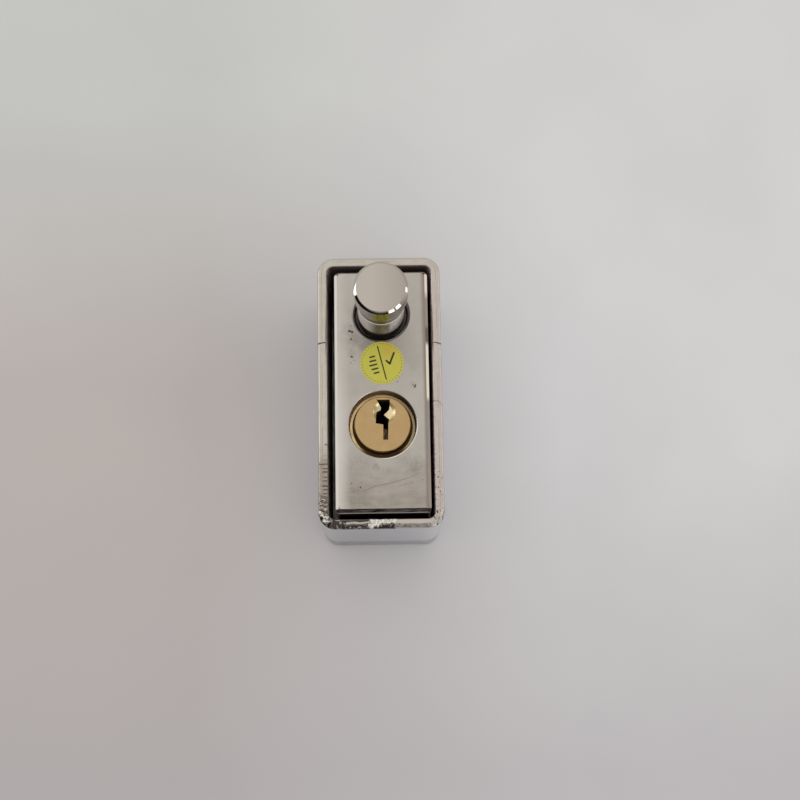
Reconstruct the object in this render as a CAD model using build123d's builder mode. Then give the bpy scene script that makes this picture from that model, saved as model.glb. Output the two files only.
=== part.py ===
from build123d import *
import os
from math import atan2, cos, radians, sin, sqrt

# Push-bolt cabinet lock: a cylinder lock body that stands in a welded steel sleeve. Millimetres.
# X runs across the face, Y up the face from the key cylinder to the plunger, Z out of the face.
# The origin is the middle of the sleeve's back edge.

# Layout of the lock body, seen from the front
body_width = 21.2
plunger_to_top = 10.0
axis_pitch = 25.4
cylinder_to_bottom = 19.9
gap_left, gap_right = 1.75, 0.85
gap_top, gap_bottom = 1.3, 1.3

# Sleeve: bent steel strip, butt welded at the middle of its lower side
sleeve_depth = 36.0
sleeve_wall = 2.1
sleeve_inner_radius = 1.7
rim_round = 0.85
edge_break = 0.25
weld_length, weld_width, weld_proud, weld_slope = 5.6, 1.9, 0.35, 0.3

# Lock body and back plate
back_thickness = 3.0
body_bevel_depth = 0.8
bevel_sides, bevel_top, bevel_bottom = 0.65, 0.45, 0.95
body_corner_radius, front_corner_radius = 1.1, 0.9
fit = 0.05
running_fit = 0.05
slide_play = 0.2

# Plunger: cap, bolt, travel and the stepped bore that it runs in
plunger_travel = 14.0
cap_diameter, cap_length, cap_chamfer = 11.7, 6.0, 0.55
cap_stand_off = 1.65
bolt_diameter = 10.5
bolt_set_back = 0.5
bolt_lead = 1.0
joint_groove = 0.25
stub_diameter, stub_length = 6.0, 4.0
mouth_diameter, mouth_depth, mouth_chamfer = 11.6, 3.0, 0.85
web_thickness = 4.0
chamber_diameter = 13.0
latch_groove_depth = 1.5
bush_length = 6.0
bolt_hole_play = 0.3

# Retaining clip and return spring of the plunger
clip_thickness, clip_groove_depth, clip_margin = 0.9, 0.8, 0.4
clip_opening = 7.0
spring_wire, spring_turns, spring_sides = 0.7, 4, 4

# Key cylinder: housing with its pin tower, plug and keyway
housing_diameter = 15.0
housing_gap = 0.1
housing_mouth_chamfer = 0.15
housing_drop = 3.5
housing_break = 0.15
collar_length = 0.15
tower_width = 6.4
plug_head_diameter, plug_head_seat, plug_head_gap = 12.6, 0.2, 0.5
plug_head_chamfer = 0.1
plug_diameter = 12.0
keyway_end_rise = 3.6
keyway_outline = [
    (-1.35, 5.65), (1.65, 5.65), (1.7, 4.6), (1.5, 3.3), (0.33, 2.2), (1.5, 1.15), (1.3, 0.1),
    (1.2, -3.55), (0.1, -3.55), (0.15, -0.1), (-1.55, 0.2), (-1.35, 2.85), (-0.4, 3.3), (-0.3, 3.9),
]
notch_depth = 0.4
lead_centre, lead_radius, lead_depth = (0.4, 2.8), 2.5, 0.6

# Pin stacks
pin_count, first_pin_depth, last_pin_rise = 5, 5.6, 6.0
pin_diameter = 2.9
pin_hole_play = 0.1
pin_tips = [-0.1, -1.9, -1.0, -2.2, -1.5]
pin_point = 0.7
pin_hole_start = 0.0
shear_gap = 0.15
driver_length, pin_spring_length, chamber_plug_length = 4.0, 3.0, 1.1
pin_spring_diameter, pin_spring_wire, pin_spring_sides = 2.5, 0.4, 8

# Snap ring, cam and cam screw on the plug's rear end
ring_space, ring_thickness, ring_groove_depth, ring_margin = 2.0, 0.8, 1.0, 0.3
ring_opening = 6.0
tenon_diameter, tenon_flats, tenon_length = 6.0, 4.5, 1.6
cam_screw_diameter, cam_screw_length = 3.0, 6.4
cam_head_diameter, cam_head_height = 7.0, 1.3
cam_play = 0.05

# Release cam: an involute lobe, so that the latch moves evenly with the key
key_turn = 90.0
latch_travel = 2.2
cam_hub_radius = 4.6
cam_contact = 5.0
cam_run_on = 3.0
lobe_points = 7
lobe_heel_angle, lobe_back_angle = 35.0, 60.0

# Latch slide: nose, arm beside the cam and the shoulder that the lobe pushes
latch_thickness = 3.0
nose_width, nose_gap, nose_chamfer = 6.0, 0.1, 0.5
arm_width, bridge_height, shoulder_height = 2.4, 3.5, 2.6
latch_corner = 0.6
cam_clearance = 1.0
shoulder_reach = 3.2
spigot_diameter, spigot_length = 1.6, 2.0
latch_spring_wire, latch_spring_turns, latch_spring_sides = 0.4, 4, 4
latch_spring_length = 8.3

# Screws
fixing_diameter, fixing_depth, fixing_spacing_x, fixing_spacing_y = 3.3, 9.0, 14.0, 28.0
fixing_rise = 1.0
cover_screw_diameter, cover_head_diameter, cover_screw_length = 2.5, 4.7, 8.0
cover_spacing_x, cover_from_top, cover_from_bottom = 15.2, 3.0, 2.3
slot_width, recess_depth = 0.9, 0.8
screw_end_room = 1.0
set_screw_diameter, set_screw_length, set_screw_depth, set_screw_drop = 3.0, 6.4, 15.0, 10.5
socket_width, socket_depth = 1.5, 1.5

# Inspection label
label_diameter, label_thickness = 9.8, 0.12
label_rise = 14.0
label_shift = 0.05

# Places worked out from the sizes above
body_height = plunger_to_top + axis_pitch + cylinder_to_bottom
front_width = body_width - 2 * bevel_sides
front_height = body_height - bevel_top - bevel_bottom
inner_width = body_width + gap_left + gap_right
inner_height = body_height + gap_top + gap_bottom
sleeve_width = inner_width + 2 * sleeve_wall
sleeve_height = inner_height + 2 * sleeve_wall
sleeve_outer_radius = sleeve_inner_radius + sleeve_wall
axis_x = (gap_left - gap_right) / 2
body_y = (gap_bottom - gap_top) / 2
body_top = body_y + body_height / 2
body_bottom = body_y - body_height / 2
plunger_y = body_top - plunger_to_top
cylinder_y = body_bottom + cylinder_to_bottom
face_z = sleeve_depth
latch_z = back_thickness + slide_play
pocket_top = latch_z + latch_thickness + slide_play
web_top = face_z - mouth_depth
web_bottom = web_top - web_thickness
bush_top = back_thickness + bush_length
cap_base = face_z + plunger_travel + cap_stand_off
clip_top = web_bottom - running_fit
clip_base = clip_top - clip_thickness
housing_rear = pocket_top + ring_space
housing_front = face_z - housing_drop
keyway_end = housing_rear + keyway_end_rise
first_pin_height = face_z - first_pin_depth
pin_pitch = (first_pin_height - housing_rear - last_pin_rise) / (pin_count - 1)
collar_base = housing_front - collar_length
head_base = housing_front - plug_head_seat
bore_diameter = plug_diameter + 2 * running_fit
head_bore_diameter = plug_head_diameter + 2 * plug_head_gap
shear_radius = plug_diameter / 2
driver_top = shear_radius + running_fit + shear_gap / 2
driver_end = driver_top + driver_length
pin_spring_end = driver_end + pin_spring_length
tower_reach = pin_spring_end + chamber_plug_length
cam_base_radius = latch_travel / radians(key_turn)
shoulder_top = cylinder_y - cam_contact - cam_play
shoulder_base = shoulder_top - shoulder_height
bridge_base = cylinder_y + cam_hub_radius + latch_travel + cam_clearance
bridge_top = bridge_base + bridge_height
arm_right = axis_x - cam_contact - cam_clearance
arm_left = arm_right - arm_width
nose_tip = plunger_y - bolt_diameter / 2 - nose_gap
spring_seat = shoulder_base - latch_spring_length
cover_top = body_top - cover_from_top
cover_bottom = body_bottom + cover_from_bottom
fixing_y = cylinder_y + fixing_rise

plunger_axis = Plane((axis_x, plunger_y, 0))
cylinder_axis = Plane((axis_x, cylinder_y, 0))
pin_heights = [first_pin_height - index * pin_pitch for index in range(pin_count)]
cover_places = [
    (axis_x + side * cover_spacing_x / 2, height)
    for side in (-1, 1)
    for height in (cover_bottom, cover_top)
]


def coil(radius, wire, sides, turns, length, plane):
    """A wire spring of half-turn arcs that climbs along the plane's axis."""
    rise = (length - wire) / (2 * turns)
    with BuildPart() as spring:
        with BuildLine() as path:
            for half in range(2 * turns):
                side = 1 if half % 2 == 0 else -1
                low = wire / 2 + half * rise
                start = plane.from_local_coords(Vector(side * radius, 0, low))
                middle = plane.from_local_coords(Vector(0, side * radius, low + rise / 2))
                end = plane.from_local_coords(Vector(-side * radius, 0, low + rise))
                ThreePointArc(start, middle, end)
        start_plane = Plane(origin=path.line @ 0, z_dir=path.line % 0)
        with BuildSketch(start_plane):
            RegularPolygon(wire / 2, sides)
        sweep(path=path.line)
    return spring.part


def cone_cut(plane, radius, depth):
    """Cuts a 45-degree cone into the part in hand, with its wide end on the plane."""
    with BuildSketch(plane.offset(-depth)) as narrow_end:
        Circle(radius - depth)
    with BuildSketch(plane) as wide_end:
        Circle(radius)
    loft([narrow_end.sketch, wide_end.sketch], mode=Mode.SUBTRACT)


def chamber_plane(height, drop):
    """The plane across a pin chamber, at a drop below the cylinder's axis."""
    return Plane((axis_x, cylinder_y - drop, height), z_dir=(0, -1, 0))


def write(piece, name):
    """Labels a finished piece and writes it under its own name."""
    piece.label = name
    export_step(piece, f"parts/{name}.step")


os.makedirs("parts", exist_ok=True)

# Armour sleeve: the strip's bends, its rolled front edge and the weld on its lower side
with BuildPart() as armour_sleeve:
    with BuildSketch():
        RectangleRounded(sleeve_width, sleeve_height, sleeve_outer_radius)
        RectangleRounded(inner_width, inner_height, sleeve_inner_radius, mode=Mode.SUBTRACT)
    extrude(amount=sleeve_depth)
    front = armour_sleeve.faces().sort_by(Axis.Z)[-1]
    fillet(front.outer_wire().edges(), rim_round)
    front = armour_sleeve.faces().sort_by(Axis.Z)[-1]
    chamfer(front.inner_wires()[0].edges(), edge_break)
    rear = armour_sleeve.faces().sort_by(Axis.Z)[0]
    chamfer(rear.outer_wire().edges(), edge_break)
    with BuildSketch(Plane.XY.offset(sleeve_depth - weld_width / 2)):
        with Locations((0, -(inner_height + sleeve_wall) / 2)):
            SlotOverall(weld_length, weld_width)
    extrude(amount=weld_width / 2 + weld_proud)
    crown = armour_sleeve.faces().sort_by(Axis.Z)[-1]
    chamfer(crown.outer_wire().edges(), weld_slope)
write(armour_sleeve.part, "armour_sleeve")

# Lock body: die-cast block with the plunger's stepped bore, the cylinder's bore and the latch pocket
with BuildPart() as lock_body:
    with BuildSketch(Plane.XY.offset(back_thickness)):
        with Locations((axis_x, body_y)):
            RectangleRounded(body_width, body_height, body_corner_radius)
    extrude(amount=face_z - body_bevel_depth - back_thickness)
    with BuildSketch(Plane.XY.offset(face_z - body_bevel_depth)):
        with Locations((axis_x, body_y)):
            RectangleRounded(body_width, body_height, body_corner_radius)
    with BuildSketch(Plane.XY.offset(face_z)):
        with Locations((axis_x, body_y + (bevel_bottom - bevel_top) / 2)):
            RectangleRounded(front_width, front_height, front_corner_radius)
    loft(ruled=True)
    with BuildSketch(plunger_axis.offset(back_thickness)):
        Circle(chamber_diameter / 2)
    extrude(amount=web_bottom - back_thickness, mode=Mode.SUBTRACT)
    with BuildSketch(plunger_axis.offset(web_bottom)):
        Circle(bolt_diameter / 2 + running_fit)
    extrude(amount=web_thickness, mode=Mode.SUBTRACT)
    with BuildSketch(plunger_axis.offset(web_top)):
        Circle(mouth_diameter / 2)
    extrude(amount=mouth_depth, mode=Mode.SUBTRACT)
    cone_cut(plunger_axis.offset(face_z), mouth_diameter / 2 + mouth_chamfer, mouth_chamfer)
    with BuildSketch(cylinder_axis.offset(collar_base)):
        Circle(housing_diameter / 2 + housing_gap)
    extrude(amount=face_z - collar_base, mode=Mode.SUBTRACT)
    hole_radius = housing_diameter / 2 + housing_gap
    cone_cut(cylinder_axis.offset(face_z), hole_radius + housing_mouth_chamfer, housing_mouth_chamfer)
    with BuildSketch(cylinder_axis.offset(pocket_top)):
        Circle(housing_diameter / 2 + fit)
        with Locations((0, -(tower_reach + fit) / 2)):
            Rectangle(tower_width + 2 * fit, tower_reach + fit)
    extrude(amount=collar_base - pocket_top, mode=Mode.SUBTRACT)
    lobe_reach = cam_base_radius * sqrt(1 + (cam_contact / cam_base_radius + radians(key_turn)) ** 2)
    pocket_right = axis_x + lobe_reach + slide_play
    pocket_left = arm_left - slide_play
    pocket_base = shoulder_base - latch_travel - slide_play
    shelf_base = cylinder_y - lobe_reach - slide_play
    with BuildSketch(Plane.XY.offset(back_thickness)):
        with BuildLine():
            Polyline(
                (pocket_left, pocket_base),
                (axis_x + shoulder_reach + slide_play, pocket_base),
                (axis_x + shoulder_reach + slide_play, shelf_base),
                (pocket_right, shelf_base),
                (pocket_right, bridge_top + slide_play),
                (pocket_left, bridge_top + slide_play),
                close=True,
            )
        make_face()
        with Locations((axis_x, (cylinder_y + plunger_y) / 2)):
            Rectangle(nose_width + 2 * slide_play, axis_pitch)
        with Locations((axis_x, (pocket_base + spring_seat) / 2)):
            Rectangle(2 * spigot_diameter + 2 * slide_play, pocket_base - spring_seat + slide_play)
    extrude(amount=pocket_top - back_thickness, mode=Mode.SUBTRACT)
    with Locations(Plane.XY.offset(back_thickness).rotated((180, 0, 0))):
        with Locations(*[(x, -y) for x, y in cover_places]):
            Hole(cover_screw_diameter / 2, depth=cover_screw_length)
        with Locations((axis_x, -fixing_y)):
            with GridLocations(fixing_spacing_x, fixing_spacing_y, 2, 2):
                Hole(fixing_diameter / 2, depth=fixing_depth - back_thickness)
    set_screw_plane = Plane(
        origin=(axis_x - body_width / 2, cylinder_y - set_screw_drop, face_z - set_screw_depth),
        z_dir=(1, 0, 0),
    )
    with BuildSketch(set_screw_plane):
        Circle(set_screw_diameter / 2)
    extrude(amount=(body_width - tower_width) / 2, mode=Mode.SUBTRACT)
write(lock_body.part, "lock_body")

# Back plate: closes the sleeve and the latch pocket, and is tapped for the fixing screws
with BuildPart() as back_plate:
    with BuildSketch():
        RectangleRounded(inner_width - 2 * fit, inner_height - 2 * fit, sleeve_inner_radius)
    extrude(amount=back_thickness)
    with BuildSketch(plunger_axis):
        Circle(bolt_diameter / 2 + bolt_hole_play)
    extrude(amount=back_thickness, mode=Mode.SUBTRACT)
    with Locations((axis_x, fixing_y, 0)):
        with GridLocations(fixing_spacing_x, fixing_spacing_y, 2, 2):
            Hole(fixing_diameter / 2)
    with Locations(Plane.XY.rotated((180, 0, 0))):
        with Locations(*[(x, -y) for x, y in cover_places]):
            CounterSinkHole(cover_screw_diameter / 2 + fit, cover_head_diameter / 2)
write(back_plate.part, "back_plate")

# Cover screws: four countersunk screws that hold the back plate to the lock body
with BuildPart() as cover_screws:
    head_drop = (cover_head_diameter - cover_screw_diameter) / 2 - fit
    for place in cover_places:
        screw_axis = Plane((place[0], place[1], 0))
        with BuildSketch(screw_axis):
            Circle(cover_head_diameter / 2 - fit)
        with BuildSketch(screw_axis.offset(head_drop)):
            Circle(cover_screw_diameter / 2)
        loft()
        with BuildSketch(screw_axis):
            Circle(cover_screw_diameter / 2 - fit)
        extrude(amount=back_thickness + cover_screw_length - screw_end_room)
        with BuildSketch(screw_axis):
            Rectangle(cover_head_diameter, slot_width)
        extrude(amount=recess_depth, mode=Mode.SUBTRACT)
write(cover_screws.part, "cover_screws")

# Plunger bolt: turned bar with the latch groove, the clip groove and a stub for the cap
with BuildPart() as plunger_bolt:
    radius = bolt_diameter / 2
    groove_base = back_thickness + plunger_travel
    groove_top = pocket_top + plunger_travel
    stub_radius = stub_diameter / 2
    with BuildSketch(Plane((axis_x, plunger_y, 0), x_dir=(1, 0, 0), z_dir=(0, -1, 0))):
        with BuildLine():
            Polyline(
                (0, bolt_set_back),
                (radius - bolt_lead, bolt_set_back),
                (radius, bolt_set_back + bolt_lead),
                (radius, groove_base),
                (radius - latch_groove_depth, groove_base),
                (radius - latch_groove_depth, groove_top),
                (radius, groove_top),
                (radius, clip_base),
                (radius - clip_groove_depth, clip_base),
                (radius - clip_groove_depth, clip_top),
                (radius, clip_top),
                (radius, cap_base - joint_groove),
                (radius - joint_groove, cap_base),
                (stub_radius, cap_base),
                (stub_radius, cap_base + stub_length),
                (0, cap_base + stub_length),
                close=True,
            )
        make_face()
    revolve(axis=Axis((axis_x, plunger_y, 0), (0, 0, 1)))
write(plunger_bolt.part, "plunger_bolt")

# Plunger cap: the push button, screwed on the bolt's stub
with BuildPart() as plunger_cap:
    with BuildSketch(plunger_axis.offset(cap_base)):
        Circle(cap_diameter / 2)
    extrude(amount=cap_length)
    chamfer(plunger_cap.edges().sort_by(Axis.Z)[-1], cap_chamfer)
    chamfer(plunger_cap.edges().sort_by(Axis.Z)[0], joint_groove)
    with BuildSketch(plunger_axis.offset(cap_base)):
        Circle(stub_diameter / 2 + fit)
    extrude(amount=stub_length + fit, mode=Mode.SUBTRACT)
write(plunger_cap.part, "plunger_cap")

# Bolt clip: open retaining ring that stops the plunger under the guide web
with BuildPart() as bolt_clip:
    with BuildSketch(plunger_axis.offset(clip_base)):
        Circle(chamber_diameter / 2 - clip_margin)
        Circle(bolt_diameter / 2 - clip_groove_depth + fit, mode=Mode.SUBTRACT)
        with Locations((chamber_diameter / 2, 0)):
            Rectangle(chamber_diameter, clip_opening, mode=Mode.SUBTRACT)
    extrude(amount=clip_thickness)
write(bolt_clip.part, "bolt_clip")

# Rear bush: guides the bolt, seats the return spring and is notched for the latch nose
with BuildPart() as rear_bush:
    with BuildSketch(plunger_axis.offset(back_thickness)):
        Circle(chamber_diameter / 2 - fit)
        Circle(bolt_diameter / 2 + running_fit, mode=Mode.SUBTRACT)
    extrude(amount=bush_length)
    with BuildSketch(plunger_axis.offset(back_thickness)):
        with Locations((0, -chamber_diameter / 2)):
            Rectangle(nose_width + 2 * slide_play, chamber_diameter)
    extrude(amount=pocket_top - back_thickness, mode=Mode.SUBTRACT)
write(rear_bush.part, "rear_bush")

# Return spring: pushes the plunger out between the bush and the clip
spring_radius = (bolt_diameter + chamber_diameter) / 4
return_spring = coil(
    spring_radius,
    spring_wire,
    spring_sides,
    spring_turns,
    clip_base - bush_top,
    plunger_axis.offset(bush_top),
)
write(return_spring, "return_spring")

# Cylinder housing: brass barrel, set back in its hole, with the pin tower below
with BuildPart() as cylinder_housing:
    with BuildSketch(cylinder_axis.offset(housing_rear)):
        Circle(housing_diameter / 2)
    extrude(amount=housing_front - housing_rear)
    chamfer(cylinder_housing.edges().sort_by(Axis.Z)[-1], housing_break)
    with BuildSketch(cylinder_axis.offset(housing_rear)):
        with Locations((0, -tower_reach / 2)):
            Rectangle(tower_width, tower_reach)
    extrude(amount=collar_base - fit - housing_rear)
    with BuildSketch(cylinder_axis.offset(housing_rear)):
        Circle(bore_diameter / 2)
    extrude(amount=housing_front - housing_rear, mode=Mode.SUBTRACT)
    with BuildSketch(cylinder_axis.offset(head_base - running_fit)):
        Circle(head_bore_diameter / 2)
    extrude(amount=plug_head_seat + running_fit, mode=Mode.SUBTRACT)
    for height in pin_heights:
        with BuildSketch(chamber_plane(height, 0)):
            Circle((pin_diameter + pin_hole_play) / 2)
        extrude(amount=tower_reach, mode=Mode.SUBTRACT)
write(cylinder_housing.part, "cylinder_housing")

# Key plug: turned brass, with the keyway, five pin holes, the ring groove and the cam's tenon
with BuildPart() as key_plug:
    plug_rear = latch_z + latch_thickness
    ring_top = housing_rear - running_fit
    ring_base = ring_top - ring_thickness
    with BuildSketch(cylinder_axis.offset(plug_rear)):
        Circle(plug_diameter / 2)
    extrude(amount=face_z - plug_rear)
    with BuildSketch(cylinder_axis.offset(head_base)):
        Circle(plug_head_diameter / 2)
    extrude(amount=face_z - head_base)
    chamfer(key_plug.edges().sort_by(Axis.Z)[-1], plug_head_chamfer)
    with BuildSketch(cylinder_axis.offset(ring_base)):
        Circle(plug_diameter / 2)
        Circle(plug_diameter / 2 - ring_groove_depth, mode=Mode.SUBTRACT)
    extrude(amount=ring_thickness, mode=Mode.SUBTRACT)
    with BuildSketch(cylinder_axis.offset(plug_rear)):
        Circle(tenon_diameter / 2)
        Rectangle(tenon_diameter, tenon_flats, mode=Mode.INTERSECT)
    extrude(amount=-tenon_length)
    with BuildSketch(cylinder_axis.offset(plug_rear - tenon_length)):
        Circle(cam_screw_diameter / 2)
    extrude(amount=cam_screw_length, mode=Mode.SUBTRACT)
    with BuildSketch(cylinder_axis.offset(keyway_end)):
        with BuildLine():
            Polyline(*keyway_outline, close=True)
        make_face()
    extrude(amount=face_z - keyway_end, mode=Mode.SUBTRACT)
    notch_left, notch_base = keyway_outline[0]
    notch_right = keyway_outline[1][0]
    with BuildSketch(cylinder_axis.offset(face_z - notch_depth)):
        with Locations(((notch_left + notch_right) / 2, (notch_base + plug_head_diameter / 2) / 2)):
            Rectangle(notch_right - notch_left, plug_head_diameter / 2 - notch_base)
    extrude(amount=notch_depth, mode=Mode.SUBTRACT)
    lead_plane = Plane((axis_x + lead_centre[0], cylinder_y + lead_centre[1], face_z))
    cone_cut(lead_plane, lead_radius, lead_depth)
    for height in pin_heights:
        with BuildSketch(chamber_plane(height, pin_hole_start)):
            Circle((pin_diameter + pin_hole_play) / 2)
        extrude(amount=plug_diameter / 2, mode=Mode.SUBTRACT)
write(key_plug.part, "key_plug")

# Key pins: five pointed pins of different lengths, held at the shear line
with BuildPart() as key_pins:
    pin_radius = pin_diameter / 2
    pin_foot = sqrt(shear_radius ** 2 - pin_radius ** 2) - shear_gap / 2
    for height, tip in zip(pin_heights, pin_tips):
        with BuildSketch(chamber_plane(height, -tip)) as point:
            Circle(pin_radius - pin_point)
        with BuildSketch(chamber_plane(height, pin_point - tip)) as shank:
            Circle(pin_radius)
        loft([point.sketch, shank.sketch])
        extrude(shank.sketch, amount=pin_foot + tip - pin_point)
write(key_pins.part, "key_pins")

# Driver pins, their springs and the plugs that close the five chambers
with BuildPart() as driver_pins:
    for height in pin_heights:
        with BuildSketch(chamber_plane(height, driver_top)):
            Circle(pin_diameter / 2)
        extrude(amount=driver_length)
write(driver_pins.part, "driver_pins")

with BuildPart() as pin_springs:
    for height in pin_heights:
        with BuildSketch(chamber_plane(height, driver_end)):
            RegularPolygon(pin_spring_diameter / 2, pin_spring_sides)
            RegularPolygon(pin_spring_diameter / 2 - pin_spring_wire, pin_spring_sides, mode=Mode.SUBTRACT)
        extrude(amount=pin_spring_length)
write(pin_springs.part, "pin_springs")

with BuildPart() as chamber_plugs:
    for height in pin_heights:
        with BuildSketch(chamber_plane(height, pin_spring_end)):
            Circle(pin_diameter / 2)
        extrude(amount=chamber_plug_length)
write(chamber_plugs.part, "chamber_plugs")

# Cylinder set screw: holds the housing from the side of the lock body
with BuildPart() as cylinder_set_screw:
    tip_plane = Plane(
        origin=(axis_x - tower_width / 2, cylinder_y - set_screw_drop, face_z - set_screw_depth),
        z_dir=(-1, 0, 0),
    )
    with BuildSketch(tip_plane):
        Circle(set_screw_diameter / 2 - fit)
    extrude(amount=set_screw_length)
    with BuildSketch(tip_plane.offset(set_screw_length)):
        RegularPolygon(socket_width / 2, 6, major_radius=False)
    extrude(amount=-socket_depth, mode=Mode.SUBTRACT)
write(cylinder_set_screw.part, "cylinder_set_screw")

# Plug ring: open snap ring behind the housing that keeps the plug in
with BuildPart() as plug_ring:
    with BuildSketch(cylinder_axis.offset(ring_base)):
        Circle(housing_diameter / 2 - ring_margin)
        Circle(plug_diameter / 2 - ring_groove_depth + fit, mode=Mode.SUBTRACT)
        with Locations((0, housing_diameter / 2)):
            Rectangle(ring_opening, housing_diameter, mode=Mode.SUBTRACT)
    extrude(amount=ring_thickness)
write(plug_ring.part, "plug_ring")

# Release cam: its lobe is an involute from the first contact to the end of the key's turn
first_roll = cam_contact / cam_base_radius
last_roll = first_roll + radians(key_turn + cam_run_on)


def lobe_point(roll):
    """A point of the lobe at a roll angle, with the cam at rest."""
    turn = roll - first_roll
    x = cam_base_radius * (cos(turn) + roll * sin(turn))
    y = cam_base_radius * (sin(turn) - roll * cos(turn))
    return (x, y)


with BuildPart() as release_cam:
    roll_step = (last_roll - first_roll) / (lobe_points - 1)
    lobe = [lobe_point(first_roll + step * roll_step) for step in range(lobe_points)]
    heel = atan2(lobe[0][1], lobe[0][0]) - radians(lobe_heel_angle)
    back = atan2(lobe[-1][1], lobe[-1][0]) + radians(lobe_back_angle)
    heel_point = (cam_hub_radius * cos(heel), cam_hub_radius * sin(heel))
    back_point = (cam_hub_radius * cos(back), cam_hub_radius * sin(back))
    with BuildSketch(cylinder_axis.offset(latch_z)):
        Circle(cam_hub_radius)
        with BuildLine():
            flank = Spline(*lobe)
            Polyline(flank @ 1, back_point, (0, 0), heel_point, flank @ 0)
        make_face()
    extrude(amount=latch_thickness)
    with BuildSketch(cylinder_axis.offset(latch_z)):
        Circle(tenon_diameter / 2 + fit)
        Rectangle(2 * tenon_diameter, tenon_flats + 2 * fit, mode=Mode.INTERSECT)
    extrude(amount=latch_thickness, mode=Mode.SUBTRACT)
    with BuildSketch(cylinder_axis.offset(latch_z)):
        Circle(cam_head_diameter / 2 + fit)
    extrude(amount=latch_thickness - tenon_length, mode=Mode.SUBTRACT)
write(release_cam.part, "release_cam")

# Cam screw: clamps the cam on the plug's tenon
with BuildPart() as cam_screw:
    head_top = plug_rear - tenon_length
    with BuildSketch(cylinder_axis.offset(head_top)):
        Circle(cam_head_diameter / 2)
    extrude(amount=-cam_head_height)
    with BuildSketch(cylinder_axis.offset(head_top)):
        Circle(cam_screw_diameter / 2 - fit)
    extrude(amount=cam_screw_length - fit)
    with BuildSketch(cylinder_axis.offset(head_top - cam_head_height)):
        Rectangle(cam_head_diameter, slot_width)
    extrude(amount=recess_depth, mode=Mode.SUBTRACT)
write(cam_screw.part, "cam_screw")

# Latch slide: its nose holds the pushed bolt, its arm passes the cam, its shoulder meets the lobe
with BuildPart() as latch_slide:
    with BuildSketch(Plane.XY.offset(latch_z)) as latch_outline:
        with BuildLine():
            Polyline(
                (axis_x - nose_width / 2, nose_tip),
                (axis_x + nose_width / 2, nose_tip),
                (axis_x + nose_width / 2, bridge_base),
                (arm_right, bridge_base),
                (arm_right, shoulder_top),
                (axis_x + shoulder_reach, shoulder_top),
                (axis_x + shoulder_reach, shoulder_base),
                (arm_left, shoulder_base),
                (arm_left, bridge_top),
                (axis_x - nose_width / 2, bridge_top),
                close=True,
            )
        make_face()
        tip_corners = latch_outline.vertices().sort_by(Axis.Y)[-2:]
        chamfer(tip_corners, nose_chamfer)
        fillet(latch_outline.vertices().group_by(Axis.X)[0], latch_corner)
    extrude(amount=latch_thickness)
    spigot_plane = Plane((axis_x, shoulder_base, latch_z + latch_thickness / 2), z_dir=(0, -1, 0))
    with BuildSketch(spigot_plane):
        Circle(spigot_diameter / 2)
    extrude(amount=spigot_length)
write(latch_slide.part, "latch_slide")

# Latch spring: keeps the nose against the bolt
latch_spring = coil(
    spigot_diameter / 2 + slide_play + latch_spring_wire / 2,
    latch_spring_wire,
    latch_spring_sides,
    latch_spring_turns,
    latch_spring_length,
    spigot_plane,
)
write(latch_spring, "latch_spring")

# Inspection label: a round paper sticker between the plunger and the cylinder
with BuildPart() as inspection_label:
    with BuildSketch(Plane((axis_x + label_shift, cylinder_y + label_rise, face_z))):
        Circle(label_diameter / 2)
    extrude(amount=label_thickness)
write(inspection_label.part, "inspection_label")
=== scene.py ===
import bmesh
import bpy
from math import cos, pi, radians, sin
from mathutils import Matrix, Vector, noise


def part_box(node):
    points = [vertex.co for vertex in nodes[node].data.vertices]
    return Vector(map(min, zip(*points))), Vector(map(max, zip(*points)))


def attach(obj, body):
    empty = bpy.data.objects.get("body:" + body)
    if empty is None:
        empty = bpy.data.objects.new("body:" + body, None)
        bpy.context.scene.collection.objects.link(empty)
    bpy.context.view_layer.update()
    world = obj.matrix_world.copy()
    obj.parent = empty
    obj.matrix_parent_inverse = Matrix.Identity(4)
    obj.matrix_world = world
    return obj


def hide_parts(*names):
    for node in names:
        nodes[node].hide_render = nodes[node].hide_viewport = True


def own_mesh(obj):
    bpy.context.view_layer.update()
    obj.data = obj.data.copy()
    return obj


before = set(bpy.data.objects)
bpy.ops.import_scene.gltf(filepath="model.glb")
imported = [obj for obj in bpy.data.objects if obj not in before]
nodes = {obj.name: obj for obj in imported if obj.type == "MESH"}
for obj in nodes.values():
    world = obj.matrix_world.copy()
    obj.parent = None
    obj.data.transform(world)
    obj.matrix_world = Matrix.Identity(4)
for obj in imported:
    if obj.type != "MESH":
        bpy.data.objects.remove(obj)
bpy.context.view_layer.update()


# Lock body: a zinc die casting that carries the whole lock. Its front was buffed and
# chromed to a satin, and years of use left stains, pits and rubbed scratches on it.
# No plating reached its sides and bores: they stayed dull. They are painted pale, as painted light in the
# gaps round the body, and dark on its lower side as painted shade.
def corners(node):
    """The low and the high corner of a CAD node's box, in millimetres."""
    return [corner * 1000 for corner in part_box(node)]


def middle(node):
    """The middle of a CAD node's box, in millimetres."""
    low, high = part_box(node)
    return (low + high) * 500


body_low, body_high = corners("lock_body")
face_z = body_high.z
bevel_side, bevel_top, bevel_foot, bevel_depth = 0.65, 0.45, 0.95, 0.8
plunger_centre, cylinder_centre = middle("plunger_cap").to_2d(), middle("key_plug").to_2d()
plunger_mouth, plunger_sink, mouth_depth = 5.82, 6.66, 3.0
cylinder_hole = 7.76
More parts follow.
